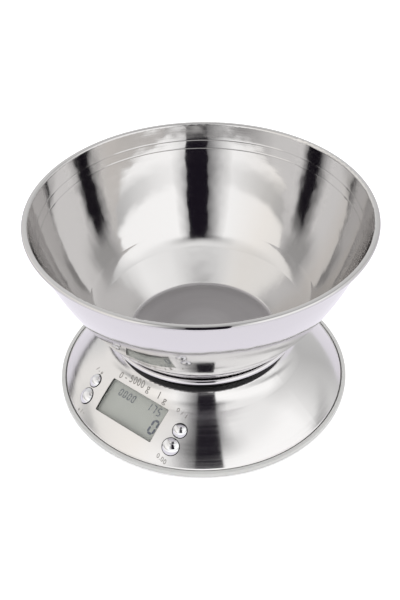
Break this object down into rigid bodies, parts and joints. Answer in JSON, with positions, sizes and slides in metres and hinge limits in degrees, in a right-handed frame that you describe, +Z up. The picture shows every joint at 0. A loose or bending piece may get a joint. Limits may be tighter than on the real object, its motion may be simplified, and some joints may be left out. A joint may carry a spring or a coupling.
{
  "type": "kitchen scale",
  "caption": "Round digital kitchen scale with a flared steel base, tilted display, dome keys and a lift-off steel mixing bowl.",
  "frame": {"origin": "on the table, under the middle of the scale", "axes": "+Z up, the display faces -Y, +X to the right of someone who faces the display"},
  "size_m": [0.22, 0.22, 0.1376],
  "materials": {
    "polished_steel": "satin to mirror polished stainless steel",
    "bowl_steel": "polished stainless steel",
    "case_plastic": "light grey moulded plastic",
    "black_plastic": "black moulded plastic",
    "key_chrome": "bright plated plastic",
    "stem_plastic": "natural moulded plastic",
    "window_plastic": "clear acrylic",
    "display_glass": "grey green liquid crystal glass",
    "strip_rubber": "elastomer",
    "board_green": "circuit board",
    "chip_black": "black moulded package",
    "cell_aluminium": "milled aluminium",
    "gauge_white": "white silicone",
    "screw_steel": "zinc plated steel",
    "spring_steel": "nickel plated spring steel",
    "battery_wrap": "printed sleeve over a steel can",
    "foot_rubber": "soft rubber"
  },
  "bodies": {
    "base": {"base_skin": "polished_steel", "lower_case": "case_plastic", "upper_case": "black_plastic", "display_lens": "window_plastic", "display_panel": "display_glass", "display_strips": "strip_rubber", "main_board": "board_green", "key_board_left": "board_green", "key_board_right": "board_green", "board_chip": "chip_black", "buzzer": "chip_black", "key_switches_left": "chip_black", "key_switches_right": "chip_black", "load_cell": "cell_aluminium", "gauge_coating": "gauge_white", "case_screws": "screw_steel", "cell_base_screws": "screw_steel", "board_screws": "screw_steel", "battery_contacts": "spring_steel", "battery_1": "battery_wrap", "battery_2": "battery_wrap", "foot_1": "foot_rubber", "foot_2": "foot_rubber", "foot_3": "foot_rubber", "foot_4": "foot_rubber"},
    "platform": {"platform_dish": "polished_steel", "platform_carrier": "black_plastic", "carrier_screws": "screw_steel"},
    "bowl": {"bowl": "bowl_steel"},
    "battery_door": {"battery_door": "case_plastic"},
    "key_left_upper": {"key_cap_left_upper": "key_chrome", "key_stem_left_upper": "stem_plastic"},
    "key_left_lower": {"key_cap_left_lower": "key_chrome", "key_stem_left_lower": "stem_plastic"},
    "key_right_upper": {"key_cap_right_upper": "key_chrome", "key_stem_right_upper": "stem_plastic"},
    "key_right_lower": {"key_cap_right_lower": "key_chrome", "key_stem_right_lower": "stem_plastic"}
  },
  "joints": [
    {"name": "platform_deflection", "type": "slide", "parent": "base", "child": "platform", "axis": [0, 0, 1], "range_m": [-0.0007, 0], "stiffness_N_per_m": 80000, "deforming": ["load_cell"]},
    {"name": "bowl_lift", "type": "slide", "parent": "platform", "child": "bowl", "axis": [0, 0, 1], "range_m": [0, 0.1]},
    {"name": "battery_door_hinge", "type": "hinge", "parent": "base", "child": "battery_door", "pos_m": [0, 0.0495, 0.002], "axis": [-1, 0, 0], "range_deg": [0, 75]},
    {"name": "key_left_upper_press", "type": "slide", "parent": "base", "child": "key_left_upper", "axis": [0.2754, 0.5573, -0.7833], "range_m": [0, 0.0005], "stiffness_N_per_m": 2000, "springref_m": -0.0004},
    {"name": "key_left_lower_press", "type": "slide", "parent": "base", "child": "key_left_lower", "axis": [0.2754, 0.5573, -0.7833], "range_m": [0, 0.0005], "stiffness_N_per_m": 2000, "springref_m": -0.0004},
    {"name": "key_right_upper_press", "type": "slide", "parent": "base", "child": "key_right_upper", "axis": [-0.2754, 0.5573, -0.7833], "range_m": [0, 0.0005], "stiffness_N_per_m": 2000, "springref_m": -0.0004},
    {"name": "key_right_lower_press", "type": "slide", "parent": "base", "child": "key_right_lower", "axis": [-0.2754, 0.5573, -0.7833], "range_m": [0, 0.0005], "stiffness_N_per_m": 2000, "springref_m": -0.0004}
  ]
}
